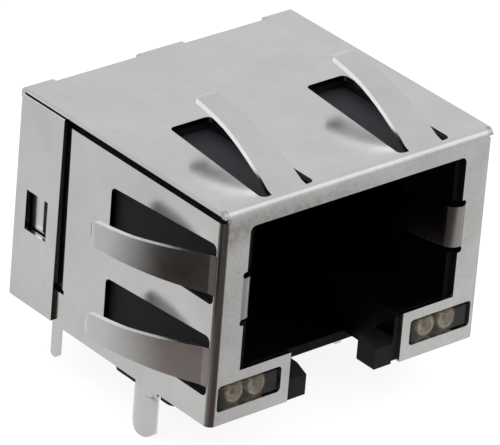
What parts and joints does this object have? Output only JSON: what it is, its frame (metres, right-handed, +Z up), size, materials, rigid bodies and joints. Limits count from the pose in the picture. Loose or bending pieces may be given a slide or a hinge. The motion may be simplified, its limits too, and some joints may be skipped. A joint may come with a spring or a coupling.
{
  "type": "ethernet jack",
  "caption": "Low shielded ethernet jack for a circuit board: metal shield with spring fingers and ground springs round a plug cavity, with an indicator lamp in each lower corner.",
  "frame": {"origin": "midway between the two locating pegs, on the plane of the circuit board's surface, which is the underside of the housing's floor plate", "axes": "+X to the right seen from the front, +Y from the plug opening to the rear door, +Z up, away from the board"},
  "size_m": [0.02, 0.0149, 0.0154],
  "materials": {
    "shield": "satin nickel plating",
    "housing": "matt, black",
    "carrier": "matt, black",
    "contact": "gold plating",
    "lamp_lens": "clear, slightly smoky resin",
    "lamp_lead": "pale plating",
    "lamp_die": "dull"
  },
  "bodies": {
    "root": {"shield": "shield", "housing": "housing", "contact_carrier": "carrier", "contact_tray": "carrier", "contact_1": "contact", "contact_2": "contact", "contact_3": "contact", "contact_4": "contact", "contact_5": "contact", "contact_6": "contact", "contact_7": "contact", "contact_8": "contact", "led_left_lens": "lamp_lens", "led_left_inner_lead": "lamp_lead", "led_left_inner_die": "lamp_die", "led_left_outer_lead": "lamp_lead", "led_left_outer_die": "lamp_die", "led_right_lens": "lamp_lens", "led_right_inner_lead": "lamp_lead", "led_right_inner_die": "lamp_die", "led_right_outer_lead": "lamp_lead", "led_right_outer_die": "lamp_die"}
  },
  "joints": []
}
